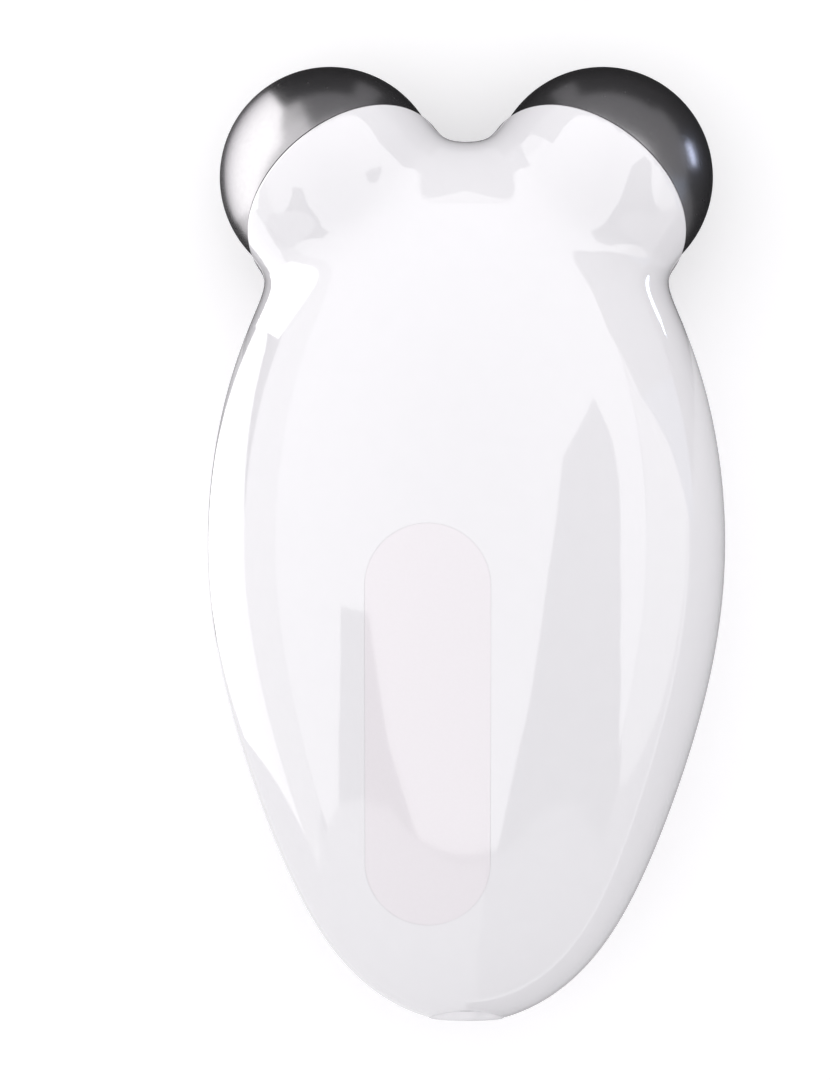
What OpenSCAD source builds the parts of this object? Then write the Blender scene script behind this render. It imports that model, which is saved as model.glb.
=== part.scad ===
// Facial toning device: an egg-shaped handle that carries two metal ball electrodes.
// Millimetres. The device lies on its front face: +Z is its back, which carries the
// label, +Y points to the balls, and z = 0 is the surface that it lies on.

/* [Body] */
// Width of the casing across its widest place
body_w = 62; // [58:0.5:66]
// From the widest place down to the tip of the handle
tail_length = 57.6; // [54:0.2:60]
// From the widest place up to the crown of the egg, between the balls
head_length = 47.6; // [46:0.1:49]
// How far the back bulges from the parting plane
back_height = 19.5; // [18.5:0.1:21]
// How far the front bulges from the parting plane
front_height = 16.5; // [16:0.1:17.5]
// Wall thickness of the two casing halves
wall = 2.2; // [1.8:0.1:2.4]
// How much the tail is drawn in from a plain egg
tail_pinch = 0.27; // [0.1:0.01:0.35]
// Sharpness of the blend between the egg and the ball collars, per millimetre
blend = 0.62; // [0.5:0.01:0.8]

/* [Balls] */
// Diameter of a ball electrode
ball_d = 26.6; // [26:0.1:27]
// Distance between the two ball centres
ball_spacing = 32.8; // [32:0.1:34]
// Distance of the ball centres from the widest place
ball_y = 43.9; // [43:0.1:45]
// Angle by which each ball leans out from the long axis
ball_splay = 38.5; // [35:0.1:44]
// Angle by which each ball leans toward the front
ball_dip = 36; // [32:0.5:40]
// How far the collar rim lies behind the ball centre
rim_back = 3; // [2.4:0.1:3.4]

/* [Label] */
// Width of the pill-shaped label
label_w = 14.8; // [12:0.1:16]
// Length of the label
label_l = 47.5; // [40:0.5:49]
// Distance of the label's centre from the long axis
label_x = -4.7; // [-6:0.1:-3]
// Height of the label's centre along the long axis
label_y = -21.5; // [-23:0.5:-20]
// Thickness of the label
label_t = 0.3; // [0.2:0.05:0.5]

/* [Button] */
// Diameter of the button cap
button_d = 11.8; // [10:0.1:12]
// Travel of the button
button_travel = 0.4; // [0.2:0.05:0.5]
// Where the button sits along the long axis
button_y = 18; // [16:0.5:19]

/* [Charging port] */
// Diameter of the plug that the port takes
plug_d = 3.6; // [3:0.1:4]
// Diameter of the port's bezel
bezel_d = 9.4; // [9:0.1:10]

/* [Hidden] */
$fn = 64;

// Casing
parting_z = front_height;
ball_r = ball_d / 2;
ball_x = ball_spacing / 2;
collar_r = ball_r + 0.3;
ball_drop = ball_r - parting_z;
fan_y = 28;             // the rings are flat up to here, and fan out beyond it
tail_rings = 26;
fan_rings = 24;
ring_steps = 20;
tail_inset = 0.3;       // the first ring lies this far inside the tip
tongue_inset = 1.25;    // a tongue on the front half's edge centres the back half on it
tongue_h = 1.2;
tip_y = -57.1;          // face of the port bezel

// Ball seat, measured along the ball's own axis from its centre
ball_wall = 1.6;
lip_r = 7.8;            // opening in the collar that the spigot passes through
lip_out_r = 12;         // the lip is fused to the wall from inside up to here
lip_back = rim_back + 1.5;
spigot_r = 7.5;
spigot_depth = 6;
pocket_floor = 6.2;
seat_back = 9;
seat_r = 10.5;
ball_screw_r = 1.5;
tag_t = 0.5;
tag_reach = 5.2;

// Board and what stands on it
board_bottom = 9;
board_t = 1.6;
board_top = board_bottom + board_t;
board_r = 17;
board_low_y = -17;
board_high_y = 14;
board_screw_places = [[-13, -20], [13, -20], [-12.5, 17], [12.5, 17]];
screw_r = 1;
clearance = 0.05;

// Case screws, in line under the label
case_screw_places = [[label_x, -4], [label_x, -38]];
case_post_r = 2.8;
case_boss_r = 3.4;
head_seat_z = 20;

// Battery
cell_r = 7;
cell_l = 49;
cell_x = 7;
cell_z = 21.6;
cell_start = -30;
pad_t = 0.95;

// Button, on its own axis square to the front face
button_r = button_d / 2;
button_z = front_z(0, button_y, 0);
button_tilt = atan(button_y / pow(head_length, 2)
    / ((parting_z - button_z) / pow(front_height, 2)));
bezel_out_r = 7.45;
switch_y = 17.5;
plunger_low = 4.9;
plunger_h = 1.5;
switch_low = 5.5;

// Indicator lights
light_y = 27.5;
light_xs = [-5, 0, 5];
light_r = 0.95;
bridge_low = 6.2;

// Charging jack
jack_back = -43;
jack_front = -50;
bezel_back = -55.9;
sleeve_back = -53.5;
sleeve_r = 2.6;
socket_play = 0.3;

// Routes of the leads
lead_r = 0.55;
ball_route = [[9.2, 34.8, 13.8], [8.4, 33.4, 12.9], [6.8, 31.2, 12.6], [4.6, 29.7, 12.6],
    [3, 28.7, 12.6], [3, 27.52, 12.6]];
plus_route = [[7, 20.02, 21.6], [7, 21.4, 21.6], [5.5, 23, 21.4], [2, 23.8, 20.6],
    [-2, 23.8, 19.6], [-5.5, 23.6, 18.2], [-7.5, 23.5, 16.4], [-7.5, 23.5, 14.62]];
minus_route = [[7, -30.02, 21.6], [7, -31.6, 21.6], [5, -33, 20], [2, -32.5, 17],
    [-0.2, -30, 15.4], [-0.4, -26, 13.8], [-0.4, -14, 13.2], [-0.4, 0, 13.2],
    [-0.4, 14, 13.4], [-1, 17.5, 14.4], [-3.5, 20, 16], [-6.8, 22, 17.2],
    [-9.5, 23.5, 16.4], [-9.5, 23.5, 14.62]];
charge_routes = [
    [[1.2, -42.98, 15], [1.2, -41.4, 15], [1.8, -38.4, 14.6], [3, -35, 13.2],
        [3.6, -33, 12.6], [3.6, -31.52, 12.6]],
    [[3, -42.98, 15], [3, -41.4, 15], [3.7, -38.4, 14.6], [4.9, -35, 13.2],
        [5.5, -33, 12.6], [5.5, -31.52, 12.6]]];

// ---- The casing's skin -------------------------------------------------------
// The skin is one smooth field: an egg with a drawn-in tail, blended with a sphere
// round each ball. Points are measured from the parting plane, and inset shrinks
// the whole form, so that the same field gives the wall's inner side.

function pinch(t) = 1 - tail_pinch * t * t * (1 - t * t) * (1 - pow(t, 4));

function egg_gap(p, inset) =
    let (l = (p[1] > 0 ? head_length : tail_length) - inset,
        h = (p[2] > 0 ? back_height : front_height) - inset,
        c = p[1] > 0 ? 1 : pinch(min(-p[1] / l, 1)),
        a = body_w / 2 - inset,
        q = [p[0] / (a * c), p[1] / l, p[2] / (h * c)],
        k = norm(q))
    k * (k - 1) / norm([q[0] / (a * c), q[1] / l, q[2] / (h * c)]);

function collar_gap(p, side, inset) =
    norm(p - [side * ball_x, ball_y, ball_drop]) - (collar_r - inset);

function skin_gap(p, inset) = -ln(exp(-blend * egg_gap(p, inset))
    + exp(-blend * collar_gap(p, -1, inset))
    + exp(-blend * collar_gap(p, 1, inset))) / blend;

// Distance from root, along the unit vector dir, to the skin
function reach(root, dir, inset, near = 0.5, far = 40, steps = 17) =
    let (middle = (near + far) / 2)
    steps == 0 ? middle
        : skin_gap(root + middle * dir, inset) < 0
            ? reach(root, dir, inset, middle, far, steps - 1)
            : reach(root, dir, inset, near, middle, steps - 1);

function on_skin(root, dir, inset) = root + reach(root, dir, inset) * dir + [0, 0, parting_z];

// Rings of the skin from tail to head; face is 1 for the back half and -1 for the front
function tail_ring_y(i, inset) =
    let (start = -(tail_length - inset) + tail_inset)
    start + (fan_y - start) * (1 - cos(90 * i / tail_rings));

function skin_point(i, a, inset, face) =
    i <= tail_rings
    ? on_skin([0, tail_ring_y(i, inset), 0], [cos(a), 0, face * sin(a)], inset)
    : let (tilt = 90 * (1 - (i - tail_rings) / fan_rings))
        on_skin([0, fan_y, 0], [sin(tilt) * cos(a), cos(tilt), face * sin(tilt) * sin(a)], inset);

function skin_ring(i, inset, face) =
    [for (j = [0:ring_steps]) skin_point(i, 180 * j / ring_steps, inset, face)];

function skin_pole(inset) = on_skin([0, fan_y, 0], [0, 1, 0], inset);

// Outline of the skin in the parting plane
function joint_outline(inset) =
    let (last = tail_rings + fan_rings - 1,
        right = [for (i = [0:last]) skin_point(i, 0, inset, 1)],
        left = [for (i = [last:-1:0]) skin_point(i, 180, inset, 1)])
    [for (p = concat(right, [skin_pole(inset)], left)) [p[0], p[1]]];

function pair(a, b, c, d) = [[a, b, c], [a, c, d]];
function turned(faces, flip) = flip ? [for (f = faces) [f[2], f[1], f[0]]] : faces;

// One half of the casing: outer skin, inner skin, and the flat strips that join them
module half_skin(face) {
    rings = tail_rings + fan_rings;
    row = ring_steps + 1;
    inner = rings * row + 1;
    points = concat(
        [for (i = [0:rings - 1]) each skin_ring(i, 0, face)], [skin_pole(0)],
        [for (i = [0:rings - 1]) each skin_ring(i, wall, face)], [skin_pole(wall)]);
    outer_faces = [for (i = [0:rings - 2], j = [0:ring_steps - 1])
        let (a = i * row + j, b = a + 1, c = b + row, d = a + row)
        each (j < ring_steps / 2 ? pair(a, b, c, d) : pair(b, c, d, a))];
    outer_cap = [for (j = [0:ring_steps - 1])
        [(rings - 1) * row + j, (rings - 1) * row + j + 1, inner - 1]];
    inner_faces = [for (f = concat(outer_faces, outer_cap)) [f[2], f[1], f[0]] + inner * [1, 1, 1]];
    first_strip = [for (i = [0:rings - 2])
        each pair(i * row, (i + 1) * row, (i + 1) * row + inner, i * row + inner)];
    last_strip = [for (i = [0:rings - 2]) let (k = i * row + ring_steps)
        each pair(k + row, k, k + inner, k + row + inner)];
    tail_strip = [for (j = [0:ring_steps - 1]) each pair(j + 1, j, j + inner, j + 1 + inner)];
    last_row = (rings - 1) * row;
    pole_strips = concat(
        pair(last_row, inner - 1, 2 * inner - 1, last_row + inner),
        pair(inner - 1, last_row + ring_steps, last_row + ring_steps + inner, 2 * inner - 1));
    polyhedron(points, turned(concat(outer_faces, outer_cap, inner_faces, first_strip,
        last_strip, tail_strip, pole_strips), face < 0), convexity = 8);
}

// Upright band that follows the joint, between two insets and two heights
module joint_band(outer, inner, low, high)
    translate([0, 0, low]) linear_extrude(high - low) difference() {
        polygon(joint_outline(outer));
        polygon(joint_outline(inner));
    }

// Height of the egg's back or front over a point of the plan, away from the collars
function rise(x, y, inset, height) =
    let (l = (y > 0 ? head_length : tail_length) - inset,
        c = y > 0 ? 1 : pinch(-y / l))
    (height - inset) * c * sqrt(1 - pow(y / l, 2) - pow(x / ((body_w / 2 - inset) * c), 2));
function back_z(x, y, inset) = parting_z + rise(x, y, inset, back_height);
function front_z(x, y, inset) = parting_z - rise(x, y, inset, front_height);

// ---- Shared shapes -----------------------------------------------------------

// Puts its children at a ball's centre, with +Z along the ball's own axis
module at_ball(side)
    translate([side * ball_x, ball_y, ball_r])
    rotate([0, 90 + ball_dip, 90 - side * ball_splay])
    children();

// Puts its children on the button's axis: z = 0 at the skin, +Z into the casing
module at_button()
    translate([0, button_y, button_z])
    rotate([button_tilt, 0, 0])
    children();

// A cylinder along Y from one place to another
module along_y(from, to, r, x = 0, z = parting_z)
    translate([x, from, z]) rotate([-90, 0, 0]) cylinder(r = r, h = to - from);

module ring(out_r, in_r, low, high) difference() {
    translate([0, 0, low]) cylinder(r = out_r, h = high - low);
    translate([0, 0, low - 1]) cylinder(r = in_r, h = high - low + 2);
}

// A block centred on x and y, between two heights
module block(x, y, w, d, low, high)
    translate([x - w / 2, y - d / 2, low]) cube([w, d, high - low]);

module stadium(x, low_y, high_y, r, low, high)
    translate([0, 0, low]) linear_extrude(high - low) hull() {
        translate([x, low_y]) circle(r = r);
        translate([x, high_y]) circle(r = r);
    }

// Lead of eight sides swept along its route, ended square
function heading(route, i) =
    let (n = len(route) - 1,
        d = i == 0 ? route[1] - route[0]
            : i == n ? route[n] - route[n - 1]
            : (route[i + 1] - route[i]) / norm(route[i + 1] - route[i])
                + (route[i] - route[i - 1]) / norm(route[i] - route[i - 1]))
    d / norm(d);

module lead(route, r = lead_r) {
    sides = 8;
    last = len(route) - 1;
    side_axis = [0.31, 0.22, 0.92];
    points = [for (i = [0:last])
        let (d = heading(route, i), c = cross(d, side_axis), u = c / norm(c), v = cross(d, u))
        for (j = [0:sides - 1])
            route[i] + r * (cos(360 * j / sides) * u + sin(360 * j / sides) * v)];
    walls = [for (i = [0:last - 1], j = [0:sides - 1]) let (k = (j + 1) % sides)
        each pair(i * sides + j, (i + 1) * sides + j, (i + 1) * sides + k, i * sides + k)];
    ends = concat([for (j = [1:sides - 2]) [0, j, j + 1]],
        [for (j = [1:sides - 2]) [last * sides, last * sides + j + 1, last * sides + j]]);
    polyhedron(points, concat(walls, ends), convexity = 6);
}

// Pill-shaped sheet that follows the back, between two insets, drawn in by gap
module pill_sheet(low_inset, high_inset, gap) {
    rows = 24;
    columns = 8;
    r = label_w / 2 - gap;
    straight = (label_l - label_w) / 2;
    function row_y(i) = label_y - (straight + r) * cos(180 * i / rows);
    function half(y) = sqrt(max(0.2, r * r - pow(max(abs(y - label_y) - straight, 0), 2)));
    function place(i, j) = [label_x + half(row_y(i)) * (2 * j / columns - 1), row_y(i)];
    function level(inset) = [for (i = [0:rows], j = [0:columns]) let (p = place(i, j))
        [p[0], p[1], back_z(p[0], p[1], inset)]];
    count = (rows + 1) * (columns + 1);
    top = [for (i = [0:rows - 1], j = [0:columns - 1]) let (k = i * (columns + 1) + j)
        each pair(k, k + columns + 1, k + columns + 2, k + 1)];
    bottom = [for (f = top) [f[2], f[1], f[0]] + count * [1, 1, 1]];
    edge = concat([for (j = [0:columns]) j],
        [for (i = [1:rows]) i * (columns + 1) + columns],
        [for (j = [columns - 1:-1:0]) rows * (columns + 1) + j],
        [for (i = [rows - 1:-1:1]) i * (columns + 1)]);
    rim = [for (i = [0:len(edge) - 1]) let (a = edge[i], b = edge[(i + 1) % len(edge)])
        each pair(a, b, b + count, a + count)];
    polyhedron(concat(level(high_inset), level(low_inset)), concat(top, bottom, rim), convexity = 4);
}

// Cross rib that stands on the casing's back or front wall and ends at a level
module cross_rib(y, x_low, x_high, z_end, thickness, back = true) {
    steps = 8;
    sink = 1.1;
    edge = [for (i = [0:steps]) let (x = x_low + (x_high - x_low) * i / steps)
        [x, back ? back_z(x, y, sink) : front_z(x, y, sink)]];
    translate([0, y + thickness / 2, 0]) rotate([90, 0, 0]) linear_extrude(thickness)
        polygon(concat([[x_high, z_end], [x_low, z_end]], edge));
}

// Post on the front wall, up to a height
module front_post(place, r, top) {
    low = max([for (a = [0:45:315]) front_z(place[0] + r * cos(a), place[1] + r * sin(a), 0.5)]);
    translate([place[0], place[1], low]) cylinder(r = r, h = top - low);
}

// ---- Casing ------------------------------------------------------------------

// Inward lip behind each collar rim, which the ball and its seat clamp
module collar_lips(face) intersection() {
    for (side = [-1, 1]) at_ball(side) ring(lip_out_r, lip_r, -lip_back, 0);
    translate([-40, 20, face > 0 ? parting_z : -10]) cube([80, 50, face > 0 ? 30 : parting_z + 10]);
}

// Everything beyond the plane of a collar rim
module beyond_rims()
    for (side = [-1, 1]) at_ball(side) translate([0, 0, -rim_back]) cylinder(r = 30, h = 40);

module port_hole() along_y(-60, -50.5, bezel_d / 2 + clearance);

module rear_shell() color([0.973, 0.965, 0.976]) difference() {
    union() {
        half_skin(1);
        collar_lips(1);
        for (p = case_screw_places) {
            top = min([for (a = [0:45:315])
                back_z(p[0] + case_boss_r * cos(a), p[1] + case_boss_r * sin(a), 0.5)]);
            translate([p[0], p[1], parting_z + clearance])
                cylinder(r = case_boss_r, h = top - parting_z - clearance);
        }
        for (y = [-18, 8]) cross_rib(y, cell_x - 6.5, cell_x + 6.5, cell_z + 4.5, 1.6);
    }
    beyond_rims();
    port_hole();
    joint_band(tongue_inset - 2 * clearance, wall + 1, parting_z - 1,
        parting_z + tongue_h + 2 * clearance);
    along_y(-25, 20, cell_r + pad_t + 2 * clearance, cell_x, cell_z);
    for (p = case_screw_places) translate([p[0], p[1], 0]) {
        translate([0, 0, parting_z - 1]) cylinder(r = screw_r + 0.1, h = 10);
        translate([0, 0, head_seat_z]) cylinder(r = 2.2, h = 20);
    }
    pill_sheet(label_t + clearance, -2, 0);
}

module front_shell() color([0.973, 0.965, 0.976]) difference() {
    union() {
        half_skin(-1);
        joint_band(tongue_inset, wall - clearance, parting_z - 1, parting_z + tongue_h);
        collar_lips(-1);
        for (p = case_screw_places) front_post(p, case_post_r, parting_z - clearance);
        for (p = board_screw_places) front_post(p, 2.2, board_bottom);
        for (x = [-2.5, 2.5]) front_post([x, light_y], 1, bridge_low);
        for (y = [-48.6, -44.4]) cross_rib(y, -4, 4, parting_z - 3.2, 1.4, false);
    }
    beyond_rims();
    port_hole();
    for (p = case_screw_places) translate([p[0], p[1], 8]) cylinder(r = screw_r + 0.02, h = 12);
    for (p = board_screw_places) translate([p[0], p[1], 5.6]) cylinder(r = screw_r + 0.02, h = 12);
    at_button() {
        translate([0, 0, -3]) cylinder(r = bezel_out_r + clearance, h = 4.3);
        translate([0, 0, -3]) cylinder(r = 6.7, h = 8);
    }
    for (x = light_xs) translate([x, light_y, 0]) cylinder(r = light_r + clearance, h = 7);
}

module rear_label() color([0.969, 0.949, 0.965])
    pill_sheet(label_t, 0.08, 0.06);

module case_screws() color("silver") for (p = case_screw_places)
    translate([p[0], p[1], 0]) difference() {
        union() {
            translate([0, 0, 9]) cylinder(r = screw_r, h = head_seat_z - 9);
            translate([0, 0, head_seat_z]) cylinder(r = 1.9, h = 1.5);
        }
        translate([0, 0, head_seat_z + 0.6]) cylinder(r = 0.8, h = 2, $fn = 6);
    }

// ---- Balls and what holds them -------------------------------------------------

// Hollow ball: a plated dome with a spigot ring and a screw boss inside
module ball(side) color([0.42, 0.42, 0.43]) at_ball(side) difference() {
    union() {
        difference() {
            sphere(r = ball_r);
            sphere(r = ball_r - ball_wall);
            translate([0, 0, -20 - rim_back + 0.1]) cylinder(r = 20, h = 20);
        }
        intersection() {
            sphere(r = ball_r - ball_wall / 2);
            union() {
                ring(spigot_r, spigot_r - 1.4, -spigot_depth, 20);
                translate([0, 0, -pocket_floor]) cylinder(r = 3.2, h = 20);
            }
        }
    }
    translate([0, 0, -pocket_floor - 1]) cylinder(r = ball_screw_r + clearance, h = pocket_floor + 6);
}
module left_ball() ball(-1);
module right_ball() ball(1);

// Sealing ring round the spigot, on the collar's lip
module seal(side) color([0.16, 0.16, 0.17]) at_ball(side)
    translate([0, 0, -rim_back + 0.5 + 0.01]) rotate_extrude()
    translate([spigot_r + 0.5 + clearance, 0]) circle(r = 0.5);
module left_seal() seal(-1);
module right_seal() seal(1);

// Cup that the ball's screw draws against the lip from inside
module seat(side) color([0.85, 0.85, 0.87]) at_ball(side) difference() {
    intersection() {
        sphere(r = seat_r);
        translate([0, 0, -seat_back]) cylinder(r = 20, h = seat_back - lip_back - clearance);
    }
    translate([0, 0, -pocket_floor]) cylinder(r = spigot_r + 0.15, h = 10);
    translate([0, 0, -seat_back - 1]) cylinder(r = ball_screw_r + 0.1, h = 10);
}
module left_seat() seat(-1);
module right_seat() seat(1);

module ball_screws() color("silver") for (side = [-1, 1]) at_ball(side) difference() {
    union() {
        translate([0, 0, -seat_back - tag_t - 2]) cylinder(r = 2.8, h = 2);
        translate([0, 0, -seat_back - tag_t]) cylinder(r = ball_screw_r, h = seat_back + tag_t + 4);
    }
    translate([0, 0, -seat_back - tag_t - 3]) cylinder(r = 1.3, h = 2.2, $fn = 6);
}

module solder_tags() color([0.85, 0.78, 0.55]) for (side = [-1, 1]) at_ball(side) difference() {
    union() {
        translate([0, 0, -seat_back - tag_t]) cylinder(r = 3.2, h = tag_t);
        translate([0, -0.9, -seat_back - tag_t]) cube([tag_reach, 1.8, tag_t]);
    }
    translate([0, 0, -seat_back - 2]) cylinder(r = ball_screw_r + clearance, h = 4);
}

// Where a lead meets its tag: a place on the ball's own axes, turned into the frame
function from_ball(side, x, z) =
    let (g = 90 - side * ball_splay, b = 90 + ball_dip)
    [side * ball_x, ball_y, ball_r]
        + x * [cos(b) * cos(g), cos(b) * sin(g), -sin(b)]
        + z * [sin(b) * cos(g), sin(b) * sin(g), cos(b)];

module ball_lead(side) color([0.75, 0.12, 0.12]) lead(concat(
    [from_ball(side, tag_reach, -seat_back - lead_r - 0.1)],
    [for (p = ball_route) [side * p[0], p[1], p[2]]]));
module left_ball_lead() ball_lead(-1);
module right_ball_lead() ball_lead(1);

// ---- Board ---------------------------------------------------------------------

module main_board() color([0.1, 0.42, 0.25]) difference() {
    stadium(0, board_low_y, board_high_y, board_r, board_bottom, board_top);
    for (p = board_screw_places) translate([p[0], p[1], 0]) cylinder(r = screw_r + 0.1, h = 20);
    translate([case_screw_places[0][0], case_screw_places[0][1], 0])
        cylinder(r = case_post_r + 0.25, h = 20);
}

module board_screws() color("silver") for (p = board_screw_places)
    translate([p[0], p[1], 0]) difference() {
        union() {
            translate([0, 0, 6]) cylinder(r = screw_r, h = board_top - 6);
            translate([0, 0, board_top]) cylinder(r = 1.8, h = 1.2);
        }
        translate([0, 0, board_top + 0.5]) cylinder(r = 0.7, h = 2, $fn = 6);
    }

module control_chip() color([0.12, 0.12, 0.13]) difference() {
    block(-9.5, -14, 7, 7, board_top, board_top + 1);
    translate([-12.2, -11.3, board_top + 0.8]) cylinder(r = 0.4, h = 1);
}

module boost_coil() color([0.25, 0.25, 0.27]) translate([-9, 4.5, board_top]) {
    cylinder(r = 3.6, h = 0.7);
    cylinder(r = 1.6, h = 3.6);
    translate([0, 0, 2.9]) cylinder(r = 3.6, h = 0.7);
}

module coil_winding() color([0.72, 0.42, 0.2]) translate([-9, 4.5, board_top + 0.7])
    ring(3.2, 1.6, 0, 2.2);

module capacitors() color([0.78, 0.66, 0.45])
    for (p = [[-14, -7.5], [-14, -2.5], [-14.5, 9.5]]) translate([p[0], p[1], board_top])
        cylinder(r = 2, h = 4.6);

module board_connectors() color([0.93, 0.91, 0.84]) {
    block(0, 25.5, 8, 4, board_top, 14.6);
    block(-8.5, 23.5, 5, 3.6, board_top, 14.6);
    block(4.6, -29.5, 5.4, 4, board_top, 14.6);
}

module buzzer() color([0.13, 0.13, 0.14]) translate([-6, 12.5, board_top]) difference() {
    cylinder(r = 4.5, h = 3.6);
    translate([0, 0, 2.2]) cylinder(r = 0.9, h = 3);
}

module indicator_leds() color([0.95, 0.95, 0.8])
    for (x = light_xs) block(x, light_y, 1.6, 1.2, board_bottom - 0.8, board_bottom);

// Three clear rods on one bridge, which end in the front wall
module light_pipe() color([0.88, 0.93, 0.98]) union() {
    for (x = light_xs) translate([x, light_y, front_z(x, light_y, 0) + 0.1])
        cylinder(r = light_r, h = 7.9 - front_z(x, light_y, 0) - 0.1);
    block(0, light_y, 13, 1.8, bridge_low, bridge_low + 1);
}

module tact_switch() color([0.2, 0.2, 0.22]) difference() {
    block(0, switch_y, 6, 6, switch_low, board_bottom);
    translate([0, switch_y, plunger_low])
        cylinder(r = 1 + clearance, h = plunger_h + button_travel + 0.1);
}

module switch_plunger() color([0.85, 0.85, 0.83])
    translate([0, switch_y, plunger_low]) cylinder(r = 1, h = plunger_h);

// ---- Battery and charging -------------------------------------------------------

module battery_cell() color([0.25, 0.45, 0.7]) {
    along_y(cell_start, cell_start + cell_l, cell_r, cell_x, cell_z);
    along_y(cell_start + cell_l, cell_start + cell_l + 1, 2.5, cell_x, cell_z);
}

// Two saddles on one base, which stand on the board
module battery_cradle() color([0.9, 0.9, 0.9]) difference() {
    union() {
        block(cell_x, -6, 6.4, 40, board_top, board_top + 1);
        for (y = [-14, 8]) block(cell_x, y, 12, 3, board_top, 18);
    }
    along_y(-40, 40, cell_r + 0.02, cell_x, cell_z);
}

module battery_pad() color([0.25, 0.25, 0.26]) translate([cell_x, -22, cell_z])
    rotate([-90, 0, 0]) linear_extrude(34) intersection() {
        difference() {
            circle(r = cell_r + 0.05 + pad_t);
            circle(r = cell_r + 0.05);
        }
        polygon([[0, 0], [10, -14], [-10, -14]]);
    }

module battery_leads() {
    color([0.75, 0.12, 0.12]) lead(plus_route);
    color([0.1, 0.1, 0.1]) lead(minus_route);
}

module charge_jack() color([0.13, 0.13, 0.14]) difference() {
    union() {
        translate([-4, jack_front, parting_z - 3.2]) cube([8, jack_back - jack_front, 6.4]);
        along_y(bezel_back, jack_front + 0.5, 3.9);
    }
    along_y(bezel_back - 1, sleeve_back + 0.1, sleeve_r + clearance);
    along_y(bezel_back, jack_back - 2, plug_d / 2 + socket_play);
}

module jack_pin() color("silver") {
    along_y(sleeve_back + 0.6, jack_back - 2, 0.62);
    translate([0, sleeve_back + 0.6, parting_z]) sphere(r = 0.62);
}

module charge_leads() color([0.15, 0.15, 0.16]) for (route = charge_routes) lead(route);

// Flat round end of the handle, with a sleeve that guides the plug
module charge_port_bezel() color([0.95, 0.94, 0.95]) difference() {
    union() {
        along_y(tip_y + 0.5, bezel_back, bezel_d / 2);
        translate([0, tip_y, parting_z]) rotate([-90, 0, 0])
            cylinder(r1 = bezel_d / 2 - 0.5, r2 = bezel_d / 2, h = 0.5);
        along_y(bezel_back, sleeve_back, sleeve_r);
    }
    along_y(tip_y - 1, sleeve_back + 1, plug_d / 2);
}

// ---- Button ----------------------------------------------------------------------

module button_bezel() color([0.8, 0.8, 0.82]) at_button()
    ring(bezel_out_r, button_r + 0.2, 0.1, 1.25);

// Cap with a shallow dish, a retaining flange behind the bezel, and the post that
// works the switch
module power_button() color([0.93, 0.92, 0.93]) at_button() difference() {
    union() {
        translate([0, 0, 0.35]) cylinder(r = button_r, h = 1.3);
        translate([0, 0, 1.4]) cylinder(r = 6.5, h = 0.8);
        cylinder(r = 1.6, h = 3.55);
    }
    translate([0, 0, -38.6 + 0.6]) sphere(r = 38.6, $fn = 96);
}

rear_shell();
front_shell();
left_ball();
right_ball();
left_seal();
right_seal();
left_seat();
right_seat();
ball_screws();
solder_tags();
left_ball_lead();
right_ball_lead();
rear_label();
case_screws();
main_board();
board_screws();
control_chip();
boost_coil();
coil_winding();
capacitors();
board_connectors();
buzzer();
indicator_leds();
light_pipe();
tact_switch();
switch_plunger();
battery_cell();
battery_cradle();
battery_pad();
battery_leads();
charge_jack();
jack_pin();
charge_leads();
charge_port_bezel();
button_bezel();
power_button();
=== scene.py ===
# %% [markdown]
# # A facial toning device
# The device is a hand-held egg of glossy white plastic that carries two dark metal balls
# in flared collars. Seen square on from its back it shows no button and no seam, so nearly
# all that the eye gets is one smooth curved skin, its reflections, and the dark balls.
# This lesson builds that skin from one formula, finishes every piece, and lights it with
# softboxes and cards, as a product photographer would.
#
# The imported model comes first. It fixes the size and place of every part, so nothing
# here is fitted by eye: each piece is made where the frame says that it is.

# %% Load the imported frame
import math

import bmesh
import bpy
import numpy as np
from mathutils import Matrix, Vector


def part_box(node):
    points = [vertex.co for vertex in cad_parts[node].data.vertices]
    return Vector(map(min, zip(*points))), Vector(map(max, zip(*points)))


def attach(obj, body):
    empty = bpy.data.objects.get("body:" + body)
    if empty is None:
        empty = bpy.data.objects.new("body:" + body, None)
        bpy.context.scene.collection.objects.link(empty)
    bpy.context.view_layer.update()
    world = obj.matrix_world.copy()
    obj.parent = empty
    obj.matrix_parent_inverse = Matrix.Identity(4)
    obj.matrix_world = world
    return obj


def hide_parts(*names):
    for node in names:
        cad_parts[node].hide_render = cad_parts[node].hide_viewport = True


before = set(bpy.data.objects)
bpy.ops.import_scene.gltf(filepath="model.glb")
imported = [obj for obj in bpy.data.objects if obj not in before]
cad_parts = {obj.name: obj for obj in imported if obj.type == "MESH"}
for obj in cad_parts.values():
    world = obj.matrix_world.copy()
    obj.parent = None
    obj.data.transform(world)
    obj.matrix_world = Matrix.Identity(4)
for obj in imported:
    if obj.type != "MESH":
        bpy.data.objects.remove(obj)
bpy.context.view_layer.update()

MM = 0.001

# %% [markdown]
# ## Camera
# The photograph looks straight at the back from far away, so the sides hardly taper. A
# long lens high above the device does the same. It is aimed by its place alone: a camera
# with no turn looks straight down with +Y at the top of the picture.

# %% Camera above the device
CAMERA_PLACE = (-6.18 * MM, 0.24 * MM, 736 * MM)
LENS_LENGTH = 200
SENSOR_WIDTH = 36


def make_camera():
    data = bpy.data.cameras.new("camera")
    data.lens = LENS_LENGTH
    data.sensor_width = SENSOR_WIDTH
    data.clip_start, data.clip_end = 0.01, 20
    camera = bpy.data.objects.new("camera", data)
    camera.location = CAMERA_PLACE
    bpy.context.scene.collection.objects.link(camera)
    bpy.context.scene.camera = camera


make_camera()
bpy.context.scene.view_settings.view_transform = "Standard"
print("camera height in mm:", CAMERA_PLACE[2] / MM)

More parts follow.
